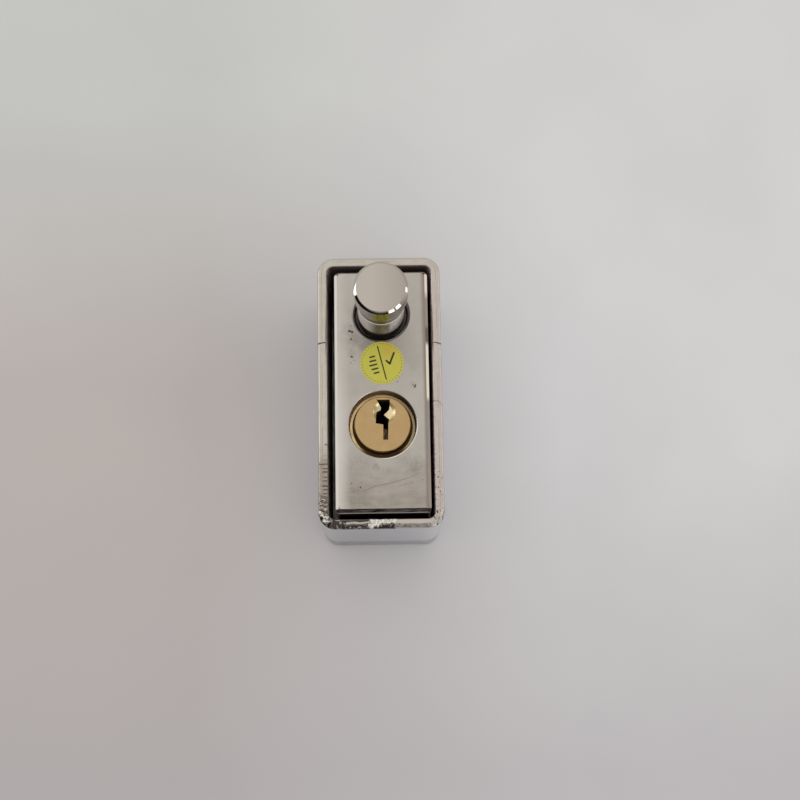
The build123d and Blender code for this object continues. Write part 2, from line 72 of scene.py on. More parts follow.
# Each stain: its centre, its size, how softly it ends and how strong it is.
stain_marks = (
    ((7.6, -17.2), 0.5, 2.6, 0.5), ((5.4, -15.6), 0.4, 2.4, 0.3), ((-1.2, -17.4), 0.2, 1.0, 0.4),
    ((1.3, -18.5), 0.2, 0.9, 0.25), ((-6.4, 8.6), 0.3, 0.9, 0.25), ((-6.9, 14.0), 0.6, 1.4, 0.3),
    ((-5.6, 11.8), 0.5, 1.5, 0.4), ((7.4, 1.1), 0.4, 0.8, 0.25), ((7.4, 5.2), 0.3, 0.6, 0.12),
    ((-3.2, 10.6), 0.6, 1.4, 0.35), ((-5.4, -17.0), 1.5, 3.2, 0.3), ((2.0, -24.6), 0.5, 2.0, 0.2),
    ((-5.6, -24.2), 1.6, 2.6, 0.35), ((6.5, -22.6), 0.4, 1.8, 0.25), ((-0.5, -21.2), 0.5, 1.6, 0.2),
)
# Each pit: its centre and its size.
pit_marks = (
    ((-6.75, 13.75), 0.26), ((-6.4, 13.65), 0.2), ((-6.1, 13.5), 0.26), ((-6.35, 11.9), 0.2),
    ((-6.4, 15.0), 0.1), ((-6.1, 12.6), 0.09), ((-6.3, 7.8), 0.22), ((-6.0, 7.7), 0.12),
    ((-5.7, 7.0), 0.1), ((-6.5, 6.4), 0.12), ((7.8, 0.75), 0.22), ((7.95, 1.05), 0.16),
    ((7.4, 1.15), 0.12), ((3.9, 1.9), 0.12), ((-4.6, -21.95), 0.17), ((-4.4, -20.8), 0.09),
    ((-6.6, -21.0), 0.12), ((-0.3, -22.9), 0.09), ((9.2, -20.3), 0.09), ((9.1, -22.7), 0.07),
    ((4.2, 3.0), 0.07),
)
# Each scratch: its two ends and its width. The first five are one long scratch that bends.
scratch_marks = (
    ((-6.5, -23.0), (-3.3, -22.5), 0.16), ((-3.3, -22.5), (-1.4, -21.7), 0.2),
    ((-1.4, -21.7), (1.8, -21.1), 0.2), ((1.8, -21.1), (5.9, -20.0), 0.17),
    ((5.9, -20.0), (8.5, -18.9), 0.12), ((3.8, -21.8), (7.2, -20.8), 0.13),
    ((-8.4, -22.1), (-6.0, -22.1), 0.1), ((-2.6, -19.8), (-0.4, -20.0), 0.09),
)


def linear(colour):
    """Turns an sRGB hex colour into linear red, green, blue and alpha."""
    channels = [int(colour[i:i + 2], 16) / 255 for i in (1, 3, 5)]
    return tuple(c / 12.92 if c <= 0.04045 else ((c + 0.055) / 1.055) ** 2.4 for c in channels) + (1.0,)


def add(tree, kind, inputs, **settings):
    """Adds a node with its settings, and fills its inputs with values or with links."""
    node = tree.nodes.new("ShaderNode" + kind)
    for name, value in settings.items():
        setattr(node, name, value)
    for socket, value in inputs.items():
        if isinstance(value, bpy.types.NodeSocket):
            tree.links.new(value, node.inputs[socket])
        else:
            node.inputs[socket].default_value = value
    return node


def surface(name, **values):
    """Starts a material. Returns it with its tree, its shader and the place on the piece in millimetres."""
    material = bpy.data.materials.new(name)
    material.use_nodes = True
    tree = material.node_tree
    shader = tree.nodes["Principled BSDF"]
    for socket, value in values.items():
        shader.inputs[socket.replace("_", " ")].default_value = value
    coordinates = add(tree, "TexCoord", {})
    place = add(tree, "VectorMath", {0: coordinates.outputs["Object"], "Scale": 1000.0}, operation="SCALE")
    return material, tree, shader, place.outputs["Vector"]


def feed(tree, shader, **links):
    """Links what the tree works out to the shader's sockets."""
    for socket, link in links.items():
        tree.links.new(link, shader.inputs[socket.replace("_", " ")])


def chain(tree, operation, *values):
    """Takes one operation along a list of numbers or links."""
    total = values[0]
    for value in values[1:]:
        total = add(tree, "Math", {0: total, 1: value}, operation=operation).outputs[0]
    return total


def ramp(tree, value, low, high):
    """Runs from 0 where the value is low to 1 where it is high."""
    return add(tree, "MapRange", {0: value, 1: low, 2: high}).outputs[0]


def band(tree, value, low, high, softness):
    """Is 1 between low and high, and fades to 0 over the softness on both sides."""
    rise = ramp(tree, value, low - softness, low)
    return chain(tree, "MINIMUM", rise, ramp(tree, value, high + softness, high))


def wear(tree, place, size, low, high, **inputs):
    """A noise of the given size in millimetres, stretched so that it runs from 0 at low to 1 at high."""
    pattern = add(tree, "TexNoise", {"Vector": place, "Scale": 1 / size, **inputs})
    return ramp(tree, pattern.outputs[0], low, high)


def blend_colours(tree, factor, first, second):
    """Mixes two colours, each a hex value or a link."""
    ends = [linear(c) if isinstance(c, str) else c for c in (first, second)]
    return add(tree, "Mix", {0: factor, 6: ends[0], 7: ends[1]}, data_type="RGBA").outputs[2]


def relieve(tree, shader, height):
    """Gives the finish a relief, from a height in millimetres."""
    bump = add(tree, "Bump", {"Height": height, "Distance": 0.001})
    feed(tree, shader, Normal=bump.outputs[0])


def dress(node, material):
    """Gives a CAD node its finish."""
    nodes[node].data.materials.clear()
    nodes[node].data.materials.append(material)


def distance(tree, flat, centre):
    """How far a place is from an upright line through the centre."""
    return add(tree, "VectorMath", {0: flat, 1: (*centre, 0.0)}, operation="DISTANCE").outputs["Value"]


def spot(tree, flat, centre, size, softness):
    """A round mark: 1 inside the size, 0 beyond the softness round it."""
    return ramp(tree, distance(tree, flat, centre), size + softness, size)


def scratch(tree, flat, start, end, width):
    """A straight scratch between two places: 1 along its middle, 0 beyond its width."""
    run = Vector(end) - Vector(start)
    offset = add(tree, "VectorMath", {0: flat, 1: (*start, 0.0)}, operation="SUBTRACT").outputs[0]
    reach = add(tree, "VectorMath", {0: offset, 1: (*run, 0.0)}, operation="DOT_PRODUCT").outputs["Value"]
    share = ramp(tree, reach, 0.0, run.length_squared)
    along = add(tree, "VectorMath", {0: (*run, 0.0), "Scale": share}, operation="SCALE").outputs[0]
    away = add(tree, "VectorMath", {0: offset, 1: along}, operation="DISTANCE").outputs["Value"]
    return ramp(tree, away, width, width * 0.3)


def squeeze(tree, place, *factors):
    """The place with each axis scaled. A small factor stretches a pattern along its axis."""
    return add(tree, "VectorMath", {0: place, 1: factors}, operation="MULTIPLY").outputs[0]


def flatten(tree, place):
    """The place with its height left out."""
    return squeeze(tree, place, 1.0, 1.0, 0.0)


def marks_of_use(tree, place, flat, specks):
    """How strongly stains, pits and scratches mark each place. The stains have ragged outlines."""
    waves_per_mm, reach = 0.9, (2.6, 2.6, 0.0)
    ragged = add(tree, "TexNoise", {"Vector": place, "Scale": waves_per_mm, "Detail": 4.0}).outputs[1]
    nudge = add(tree, "VectorMath", {0: ragged, 1: (0.5, 0.5, 0.5)}, operation="SUBTRACT").outputs[0]
    loose = add(tree, "VectorMath", {0: nudge, 1: reach, 2: flat}, operation="MULTIPLY_ADD").outputs[0]
    stains, pits, scratches = 0.0, 0.0, 0.0
    for centre, size, softness, strength in stain_marks:
        mark = chain(tree, "MULTIPLY", spot(tree, loose, centre, size, softness), strength)
        stains = chain(tree, "MAXIMUM", mark, stains)
    for centre, size in pit_marks:
        pits = chain(tree, "MAXIMUM", spot(tree, flat, centre, size * 0.4, size), pits)
    for start, end, width in scratch_marks:
        scratches = chain(tree, "MAXIMUM", scratch(tree, flat, start, end, width), scratches)
    stains = chain(tree, "MULTIPLY", stains, chain(tree, "ADD", specks, 0.3))
    uneven = chain(tree, "ADD", chain(tree, "MULTIPLY", specks, 0.5), 0.45)
    return stains, pits, chain(tree, "MULTIPLY", scratches, uneven)


def front_colour(tree, place, y, left, right, clouds, dulled, pits):
    """The front: warm, cloudy and darker low down, from wear and painted shade, with a painted sheen beside
    its left edge and painted shade where its right rolls off.
    """
    lower_wear_and_shade = ramp(tree, y, -15.0, -25.0)
    # Darker low down: partly wear, partly painted shade.
    colour = blend_colours(tree, lower_wear_and_shade, "#c5c1bc", "#ada79f")
    cloudiness = chain(tree, "ADD", chain(tree, "MULTIPLY", lower_wear_and_shade, 0.4), 0.2)
    colour = blend_colours(tree, chain(tree, "MULTIPLY", clouds, cloudiness), colour, "#97918a")
    wiped = squeeze(tree, place, 0.35, 1.0, 1.0)
    wiped = chain(tree, "MULTIPLY", wear(tree, wiped, 1.1, 0.4, 0.75, Detail=4.0), lower_wear_and_shade, 0.3)
    colour = blend_colours(tree, wiped, colour, "#dad5cf")
    colour = blend_colours(tree, dulled, colour, "#7d7772")
    colour = blend_colours(tree, pits, colour, "#2a2524")
    lower_half = chain(tree, "ADD", ramp(tree, y, 5.0, -5.0), 1.0)
    # Painted sheen beside the left edge.
    left_edge_sheen = chain(tree, "MULTIPLY", ramp(tree, left, 3.4, 0.9), lower_half, 0.35)
    colour = blend_colours(tree, left_edge_sheen, colour, "#e6e4e2")
    # Painted shade where the right side rolls off.
    roll_start = chain(tree, "ADD", chain(tree, "MULTIPLY", ramp(tree, y, 0.0, 16.0), 0.4), 1.5)
    reach = {0: right, 1: roll_start, 2: 0.75}
    roll_off_shade = add(tree, "MapRange", reach, interpolation_type="SMOOTHSTEP").outputs[0]
    return blend_colours(tree, chain(tree, "MULTIPLY", roll_off_shade, 0.9), colour, "#948985")


def side_bevel_colour(tree, x, y):
    """The bevels down both sides, all painted light: a pale painted sheen on the left, and on the right
    painted highlights in two stretches with painted shade between them.
    """
    lit = chain(tree, "MAXIMUM", band(tree, y, -1.5, 10.0, 1.2), ramp(tree, y, 21.0, 23.0))
    # Painted shade on the right bevel between the two painted highlights.
    dull = chain(tree, "MULTIPLY", band(tree, y, 11.5, 14.0, 1.0), 0.8)
    strip = blend_colours(tree, lit, "#a69d97", "#f6eee1")
    strip = blend_colours(tree, dull, strip, "#6a615c")
    return blend_colours(tree, ramp(tree, x, 1.0, 0.0), strip, "#ebe8e4")


def lower_bevel_colour(tree, place, foot):
    """The bevel at the foot: a blotched painted dark reflection along it, with a painted highlight line on
    its edge.
    """
    along = squeeze(tree, place, 0.12, 1.0, 1.0)
    dark_reflection = blend_colours(tree, wear(tree, along, 0.3, 0.38, 0.68, Detail=3.0), "#1f191a", "#6a6361")
    return blend_colours(tree, band(tree, foot, -0.02, 0.14, 0.05), dark_reflection, "#9a9795")


def sunk_ring_colour(tree, flat, x, y, specks):
    """The sunk ring round the plunger, all painted light and shade: grey, dark at its lower left and pale at
    its lower right, with a painted highlight on its left lip and a black painted shadow next to the bolt.
    """
    from_plunger = distance(tree, flat, plunger_centre)
    shadow_radius = 6.1
    below = ramp(tree, y, plunger_centre.y - 2.0, plunger_centre.y - 4.8)
    to_right = ramp(tree, x, plunger_centre.x - 3.0, plunger_centre.x + 2.5)
    ring = blend_colours(tree, below, "#7c7470", blend_colours(tree, to_right, "#574d49", "#c4bdb9"))
    lip_highlight = chain(tree, "MULTIPLY", ramp(tree, from_plunger, plunger_sink - 0.3, plunger_sink - 0.1),
                ramp(tree, x, plunger_centre.x - 1.0, plunger_centre.x - 4.5))
    ring = blend_colours(tree, lip_highlight, ring, "#fffaf5")
    turned = chain(tree, "ADD", from_plunger, chain(tree, "MULTIPLY", specks, 0.12))
    return blend_colours(tree, ramp(tree, turned, shadow_radius + 0.12, shadow_radius), ring, "#1d1817")


def cast_body():
    """Satin chrome on a buffed casting: a soft blur of a reflection, cloudy where it is stained."""
    material, tree, shader, place = surface("satin_chrome_buffed_casting")
    flat = flatten(tree, place)
    x, y, height = add(tree, "SeparateXYZ", {0: place}).outputs
    clouds = wear(tree, place, 5.0, 0.35, 0.7, Detail=5.0, Roughness=0.62)
    specks = wear(tree, place, 0.35, 0.3, 0.72, Detail=3.0)
    stains, pits, scratches = marks_of_use(tree, place, flat, specks)
    dulled = chain(tree, "MAXIMUM", stains, chain(tree, "MULTIPLY", scratches, 0.7))
    left, right = chain(tree, "SUBTRACT", x, body_low.x), chain(tree, "SUBTRACT", body_high.x, x)
    foot, crown = chain(tree, "SUBTRACT", y, body_low.y), chain(tree, "SUBTRACT", body_high.y, y)
    side = chain(tree, "MINIMUM", left, right)
    side_bevel = band(tree, side, 0.05, bevel_side - 0.07, 0.06)
    lower_bevel = ramp(tree, foot, bevel_foot + 0.05, bevel_foot - 0.02)
    upper_bevel = ramp(tree, crown, bevel_top, bevel_top - 0.08)
    colour = front_colour(tree, place, y, left, right, clouds, dulled, pits)
    colour = blend_colours(tree, side_bevel, colour, side_bevel_colour(tree, x, y))
    colour = blend_colours(tree, lower_bevel, colour, lower_bevel_colour(tree, place, foot))
    shade = blend_colours(tree, ramp(tree, crown, 0.1, 0.5), "#7b7475", "#aaa4a4")
    colour = blend_colours(tree, upper_bevel, colour, shade)

    sunk = ramp(tree, height, face_z - 0.02, face_z - 0.1)
    in_sink = chain(tree, "MULTIPLY", spot(tree, flat, plunger_centre, plunger_sink, 0.05), sunk)
    in_hole = chain(tree, "MULTIPLY", spot(tree, flat, cylinder_centre, cylinder_hole, 0.04), sunk)
    in_mouth = chain(tree, "MULTIPLY", spot(tree, flat, plunger_centre, plunger_mouth, 0.02),
                     ramp(tree, height, face_z - mouth_depth - 0.1, face_z - mouth_depth + 0.1))
    colour = blend_colours(tree, in_sink, colour, sunk_ring_colour(tree, flat, x, y, specks))
    # Painted highlight along the hole's edge at its lower right.
    from_cylinder = distance(tree, flat, cylinder_centre)
    hole_edge = band(tree, from_cylinder, cylinder_hole + 0.02, cylinder_hole + 0.1, 0.06)
    glint = chain(tree, "MULTIPLY", hole_edge, ramp(tree, chain(tree, "SUBTRACT", x, y), 14.5, 17.0))
    colour = blend_colours(tree, glint, colour, "#fbf9f5")
    bare = ramp(tree, height, face_z - bevel_depth - 0.05, face_z - bevel_depth - 0.25)
    # Painted light and shade on the bare sides: pale to light the gaps, dark on the lower side.
    bare_metal = blend_colours(tree, ramp(tree, foot, 0.15, 0.05), "#e6deda", "#2b2422")
    bare_metal = blend_colours(tree, in_mouth, bare_metal, "#7a7370")
    colour = blend_colours(tree, bare, colour, bare_metal)
    # The hole's wall: pale as painted light on the left, and painted shade towards the right.
    shaded = ramp(tree, x, cylinder_centre.x - 1.0, cylinder_centre.x + 4.5)
    colour = blend_colours(tree, in_hole, colour, blend_colours(tree, shaded, "#d9c2ac", "#7a6b5c"))
    feed(tree, shader, Base_Color=colour)
    bare = chain(tree, "MULTIPLY", bare, chain(tree, "SUBTRACT", 1.0, in_hole))
    unplated = chain(tree, "MAXIMUM", bare, lower_bevel, upper_bevel, chain(tree, "MULTIPLY", in_sink, 0.75))
    plating = chain(tree, "SUBTRACT", 1.0, unplated)
    feed(tree, shader, Metallic=plating, Specular_IOR_Level=chain(tree, "MULTIPLY", plating, 0.5))
    blur = chain(tree, "ADD", chain(tree, "MULTIPLY", clouds, 0.1), chain(tree, "MULTIPLY", dulled, 0.15),
                 chain(tree, "MULTIPLY", in_hole, 0.15), 0.3)
    feed(tree, shader, Roughness=blur)

    swell = wear(tree, place, 4.0, 0.2, 0.8, Detail=2.0)
    near_edge = chain(tree, "MAXIMUM", chain(tree, "SUBTRACT", bevel_side + 0.8, side), 0.0)
    shoulder = chain(tree, "MAXIMUM", chain(tree, "SUBTRACT", bevel_side, side), 0.0)
    raised = chain(tree, "ADD", chain(tree, "MULTIPLY", swell, 0.03), chain(tree, "MULTIPLY", specks, 0.002),
                   chain(tree, "MULTIPLY", shoulder, 1.7))
    sunken = chain(tree, "ADD", chain(tree, "MULTIPLY", pits, 0.08), chain(tree, "MULTIPLY", scratches, 0.01),
                   chain(tree, "MULTIPLY", near_edge, near_edge, 0.1))
    relieve(tree, shader, chain(tree, "SUBTRACT", raised, sunken))
    return material


dress("lock_body", cast_body())


# Back plate, its screws, the set screw, the latch, the cam and the cam screw: mild steel,
# machined and zinc plated. The plating is a soft grey with a faint blue and straw bloom.
def zinc_plate(name, tone, bloom, grain):
    """Passivated zinc: cloudy, a little blue or straw, over the lines that the cutter left.

    Those lines are finer than 0.1 mm. They are drawn 0.4 mm wide, so that they show."""
    material, tree, shader, place = surface(name, Metallic=1.0)
    clouds = wear(tree, place, 3.5, 0.3, 0.7, Detail=4.0)
    hue = wear(tree, place, 8.0, 0.35, 0.65, Detail=2.0)
    tint = blend_colours(tree, hue, tone, bloom)
    dull = blend_colours(tree, chain(tree, "MULTIPLY", clouds, 0.5), tint, "#8d8f90")
    feed(tree, shader, Base_Color=dull)
    feed(tree, shader, Roughness=chain(tree, "ADD", chain(tree, "MULTIPLY", clouds, 0.18), 0.26))
    cut = squeeze(tree, place, *grain)
    relieve(tree, shader, chain(tree, "MULTIPLY", wear(tree, cut, 0.4, 0.3, 0.7, Detail=3.0), 0.006))
    return material


milled_zinc = zinc_plate("zinc_plated_steel_milled", "#b7b9ba", "#b9b4a4", (3.0, 0.15, 1.0))
turned_zinc = zinc_plate("zinc_plated_steel_turned", "#b2b5b9", "#bdb7a2", (1.0, 1.0, 1.0))
for node in ("back_plate", "latch_slide", "release_cam"):
    dress(node, milled_zinc)
for node in ("cover_screws", "cylinder_set_screw", "cam_screw"):
    dress(node, turned_zinc)


# Springs, clip and snap ring: spring steel wire and strip, blued by its heat treatment.
# Drawn wire has a dull, slightly cloudy sheen.
def spring_wire():
    """Blued spring steel: dark, cool and half bright."""
    material, tree, shader, place = surface("spring_steel_drawn", Metallic=1.0)
    clouds = wear(tree, place, 0.8, 0.3, 0.7, Detail=3.0)
    feed(tree, shader, Base_Color=blend_colours(tree, clouds, "#6f7277", "#4b4e55"))
    feed(tree, shader, Roughness=chain(tree, "ADD", chain(tree, "MULTIPLY", clouds, 0.15), 0.28))
    return material


def put_in_scene(name, data):
    """Makes an object of a mesh or a camera, and links it to the scene."""
    thing = bpy.data.objects.new(name, data)
    bpy.context.scene.collection.objects.link(thing)
    return thing


def wound_spring(node, along, wire):
    """A coil of round wire in the place of a CAD spring, wound along axis 1 or 2."""
    turns, steps, sides = 4, 32, 10
    across = 3 - along
    low, high = corners(node)
    centre = (low + high) / 2
    length = high[along] - low[along]
    coil_radius = (high.x - low.x) / 2 - wire / 2
    mesh = bmesh.new()
    rings = []
    for i in range(turns * steps + 1):
        angle = 2 * pi * i / steps
        climb = low[along] + wire / 2 + (length - wire) * i / (turns * steps)
        ring = []
        for k in range(sides):
            reach = coil_radius + wire / 2 * cos(2 * pi * k / sides)
            point = Vector((centre.x + reach * cos(angle), 0.0, 0.0))
            point[across] = centre[across] + reach * sin(angle)
            point[along] = climb + wire / 2 * sin(2 * pi * k / sides)
            ring.append(mesh.verts.new(point / 1000))
        rings.append(ring)
    for first, second in zip(rings, rings[1:]):
        for k in range(sides):
            mesh.faces.new((first[k], first[(k + 1) % sides], second[(k + 1) % sides], second[k]))
    mesh.faces.new(rings[0])
    mesh.faces.new(reversed(rings[-1]))
    bmesh.ops.recalc_face_normals(mesh, faces=mesh.faces)
    data = bpy.data.meshes.new(node + "_wire")
    mesh.to_mesh(data)
    mesh.free()
    data.shade_smooth()
    data.materials.append(drawn_steel)
    spring = put_in_scene(node + "_wire", data)
    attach(spring, "case")
    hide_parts(node)
    seat, direction = centre.copy(), Vector((0.0, 0.0, 0.0))
    seat[along], direction[along] = low[along], 1.0
    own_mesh(spring)


drawn_steel = spring_wire()
for node in ("return_spring", "latch_spring", "pin_springs", "bolt_clip", "plug_ring"):
    dress(node, drawn_steel)
wound_spring("return_spring", along=2, wire=0.7)
wound_spring("latch_spring", along=1, wire=0.4)


# Plunger bolt: a free-cutting steel bar, ground, then chromed. Its strokes through the guide
# have rubbed fine marks along it, and its front carries a painted dark reflection. Near the cap it
# has a band of painted shadow round the front, with a painted highlight line under it.
cap_shadow_band = (47.3, 48.9)
highlight_line = (46.3, 46.6)


def rubbed_bar():
    """Satin chrome: clean on its right flank, with a painted sheen on its left, a painted dark reflection
    between them, and painted shadow at its foot and under the cap.
    """
    material, tree, shader, place = surface("satin_chrome_ground_bar")
    x, y, height = add(tree, "SeparateXYZ", {0: place}).outputs
    drawn = squeeze(tree, place, 1.0, 1.0, 0.12)
    marks = wear(tree, drawn, 0.7, 0.3, 0.75, Detail=3.0)
    smears = wear(tree, drawn, 1.6, 0.35, 0.65, Detail=3.0)
    to_right = chain(tree, "SUBTRACT", x, plunger_centre.x + 0.4)
    ragged = chain(tree, "ADD", to_right, chain(tree, "MULTIPLY", smears, 1.2))
    front = ramp(tree, y, plunger_centre.y + 1.0, plunger_centre.y - 2.0)
    # Painted dark reflection on the front, ragged at its edge.
    front_dark_reflection = chain(tree, "MULTIPLY", ramp(tree, ragged, 2.9, 1.2), front)
    colour = blend_colours(tree, marks, "#f2ede8", "#cdc7c1")
    colour = blend_colours(tree, front_dark_reflection, colour, blend_colours(tree, smears, "#4f4a47", "#7d7772"))
    # Painted sheen on the left flank, paler and less metallic.
    left_flank_sheen = chain(tree, "MULTIPLY", ramp(tree, x, plunger_centre.x - 1.2, plunger_centre.x - 3.2), front)
    colour = blend_colours(tree, left_flank_sheen, colour, "#cfc9c3")
    # Painted shadow at the foot, where the bar enters the mouth.
    foot = chain(tree, "MULTIPLY", ramp(tree, height, face_z + 2.8, face_z + 1.6), front)
    colour = blend_colours(tree, foot, colour, "#1f1a18")
    # Painted shadow under the cap, and a painted highlight line below it.
    cap_shadow = chain(tree, "MULTIPLY", band(tree, height, *cap_shadow_band, 0.4), front, 0.85)
    colour = blend_colours(tree, cap_shadow, colour, "#3f3834")
    colour = blend_colours(tree, band(tree, height, *highlight_line, 0.3), colour, "#fffdf9")
    feed(tree, shader, Base_Color=colour)
    dimmed = chain(tree, "ADD", chain(tree, "MULTIPLY", front_dark_reflection, 0.3), chain(tree, "MULTIPLY", left_flank_sheen, 0.5))
    feed(tree, shader, Metallic=chain(tree, "SUBTRACT", 0.6, dimmed))
    blur = chain(tree, "ADD", chain(tree, "MULTIPLY", marks, 0.08), chain(tree, "MULTIPLY", front_dark_reflection, 0.2), 0.16)
    feed(tree, shader, Roughness=blur)
    relieve(tree, shader, chain(tree, "MULTIPLY", marks, 0.008))
    return material


dress("plunger_bolt", rubbed_bar())


# Plunger cap: a turned steel button, polished and bright chromed, then screwed on the bolt.
# Its top is a near mirror, hazed a little where fingers push it, and its side has gone duller.
# Painted shade darkens its top towards the right and its side past a lighter left edge.
cap_top = corners("plunger_cap")[1].z
cap_chamfer = 0.55
cap_side_top = cap_top - cap_chamfer


def mirror_cap():
    """Bright chrome: a clear mirror with a faint haze of handling. Its chamfer is a little rounded."""
    material, tree, shader, place = surface("bright_chrome_turned_cap", Metallic=1.0)
    x, _, height = add(tree, "SeparateXYZ", {0: place}).outputs
    shaded = ramp(tree, x, plunger_centre.x - 2.0, plunger_centre.x + 6.0)
    top = blend_colours(tree, shaded, "#cac4be", "#b5aea6")
    # The side: lighter at its left edge as a painted highlight, then darker as painted shade.
    from_left = ramp(tree, x, plunger_centre.x - 3.0, plunger_centre.x - 1.5)
    duller_shaded_side = blend_colours(tree, from_left, "#918b83", "#6c665f")
    side = ramp(tree, height, cap_side_top + 0.02, cap_side_top - 0.02)
    feed(tree, shader, Base_Color=blend_colours(tree, side, top, duller_shaded_side))
    rubbed = wear(tree, place, 2.5, 0.4, 0.75, Detail=4.0)
    haze = chain(tree, "ADD", chain(tree, "MULTIPLY", rubbed, 0.04),
                 chain(tree, "MULTIPLY", side, 0.1), 0.045)
    feed(tree, shader, Roughness=haze)
    chamfer_middle = cap_top - cap_chamfer / 2
    across = chain(tree, "DIVIDE", chain(tree, "SUBTRACT", chamfer_middle, height), cap_chamfer / 2)
    on_chamfer = ramp(tree, height, cap_side_top - 0.02, cap_side_top)
    rounded = chain(tree, "MULTIPLY", across, across, on_chamfer, 0.006)
    swell = chain(tree, "MULTIPLY", wear(tree, place, 3.0, 0.2, 0.8, Detail=1.0), 0.008)
    relieve(tree, shader, chain(tree, "SUBTRACT", swell, rounded))
    return material


dress("plunger_cap", mirror_cap())


# Key cylinder: housing, plug, pins, chamber plugs and the bolt's rear bush, all turned and
# drilled from brass bar. The plug's face was faced on the lathe and has gone tan with handling.
plug_edge, housing_bore, housing_drop = 6.3, 6.8, 3.5
lead_centre, lead_reach, lead_depth = cylinder_centre + Vector((0.4, 2.8)), 2.5, 0.6


def lathe_brass(name, tone, warmer, blur, metallic=1.0):
    """Turned brass: fine rings about the cylinder's axis, a little warmer and duller in patches.

    The tool left its rings under 0.1 mm apart. They are drawn 0.22 mm apart, so that they show."""
    material, tree, shader, place = surface(name, Metallic=metallic)
    radius = distance(tree, flatten(tree, place), cylinder_centre)
    depth = chain(tree, "SUBTRACT", face_z, add(tree, "SeparateXYZ", {0: place}).outputs[2])
    ring_place = add(tree, "CombineXYZ", {0: radius, 2: depth}).outputs[0]
    rings = wear(tree, ring_place, 0.22, 0.3, 0.7, Detail=2.0)
    clouds = wear(tree, place, 2.2, 0.35, 0.7, Detail=4.0)
    handled = blend_colours(tree, chain(tree, "MULTIPLY", clouds, 0.35), tone, warmer)
    feed(tree, shader, Base_Color=handled)
    feed(tree, shader, Roughness=chain(tree, "ADD", chain(tree, "MULTIPLY", clouds, 0.12), blur))
    relieve(tree, shader, chain(tree, "ADD", chain(tree, "MULTIPLY", rings, 0.003),
                                chain(tree, "MULTIPLY", clouds, 0.006)))
    return material, tree, shader, place, handled, radius, depth


def tarnish_and_shade(tree, shader, colour, where, deep):
    """Lets brass go brown and lose its shine where the mask says: tarnish where no hand or key polishes
    it, and painted shade where it stands in for the dark of hollows and low sides.
    """
    feed(tree, shader, Base_Color=blend_colours(tree, where, colour, deep))
    bright = chain(tree, "SUBTRACT", 1.0, where)
    feed(tree, shader, Metallic=bright, Specular_IOR_Level=chain(tree, "MULTIPLY", bright, 0.5))


def plug_finish():
    """The plug: tan on its face, with leads painted paler to the right as a painted highlight, and brown
    down its side and in the keyway, from tarnish and painted shade.
    """
    finish = lathe_brass("brass_faced_plug", "#c5ab7c", "#c1966a", 0.24)
    material, tree, shader, place, face, radius, depth = finish
    x, _, _ = add(tree, "SeparateXYZ", {0: place}).outputs
    in_lead = spot(tree, flatten(tree, place), lead_centre, lead_reach - 0.05, 0.05)
    lead = chain(tree, "MULTIPLY", in_lead, band(tree, depth, 0.03, lead_depth, 0.03))
    # Painted highlight: the leads turn paler towards the right.
    to_right = ramp(tree, x, cylinder_centre.x - 1.5, cylinder_centre.x + 1.5)
    face = blend_colours(tree, lead, face, blend_colours(tree, to_right, "#c7b68f", "#f6e6bd"))
    edge = chain(tree, "MULTIPLY", band(tree, radius, plug_edge - 0.14, plug_edge, 0.05), 0.75)
    face = blend_colours(tree, edge, face, "#5a4224")
    side = chain(tree, "MULTIPLY", ramp(tree, radius, plug_edge - 0.06, plug_edge - 0.02),
                 ramp(tree, depth, 0.1, 0.16))
    # Deeper in the keyway the brown darkens further as painted shade.
    keyway = ramp(tree, depth, 0.7, 1.0)
    deep = blend_colours(tree, keyway, "#80603c", "#4f3a24")
    tarnish_and_shade(tree, shader, face, chain(tree, "MAXIMUM", side, keyway), deep)
    return material


def housing_finish():
    """The housing: cream on its front ring, darker to the right as shade, brown in its bore and behind,
    and brown at the ring's foot as painted shade.
    """
    finish = lathe_brass("brass_turned_housing", "#e9d5a6", "#cdb487", 0.22)
    material, tree, shader, place, ring, radius, depth = finish
    x, y, _ = add(tree, "SeparateXYZ", {0: place}).outputs
    shaded = ramp(tree, x, cylinder_centre.x + 1.0, cylinder_centre.x + 6.5)
    ring = blend_colours(tree, shaded, ring, "#a99a79")
    bore = ramp(tree, radius, housing_bore + 0.03, housing_bore)
    behind = ramp(tree, depth, housing_drop + 0.2, housing_drop + 0.4)
    # Painted shade: the lowest part of the ring goes brown.
    low = ramp(tree, y, cylinder_centre.y - 4.6, cylinder_centre.y - 6.0)
    tarnish_and_shade(tree, shader, ring, chain(tree, "MAXIMUM", bore, behind, low), "#80603c")
    return material


dress("key_plug", plug_finish())
dress("cylinder_housing", housing_finish())
# The pins are pale and barely metallic, as painted light in the dark keyway.
pin_brass = lathe_brass("brass_turned_pins", "#f7cfa6", "#e5b28a", 0.45, metallic=0.2)[0]
bush_brass = lathe_brass("brass_turned_bush", "#bfa473", "#b08f60", 0.25)[0]
for node in ("key_pins", "driver_pins"):
    dress(node, pin_brass)
for node in ("chamber_plugs", "rear_bush"):
    dress(node, bush_brass)


# Armour sleeve: steel strip bent round the lock, butt welded low on its front rim, dressed
# with a file and chrome plated. The rim keeps file marks, chips at the lower corners,
# hairline splits across it and the bead of the weld.
sleeve_low, sleeve_high = corners("armour_sleeve")
# The rim lies level with the body's front, and only the weld's bead stands above it.
rim_top = face_z
wall, bend, rim_round, foot_edge = 2.1, 1.7, 0.85, 0.25
inner_half = ((sleeve_high.x - sleeve_low.x) / 2 - wall, (sleeve_high.y - sleeve_low.y) / 2 - wall)
fine_step, coarse_step = 0.14, 0.7
file_pitch = 0.95
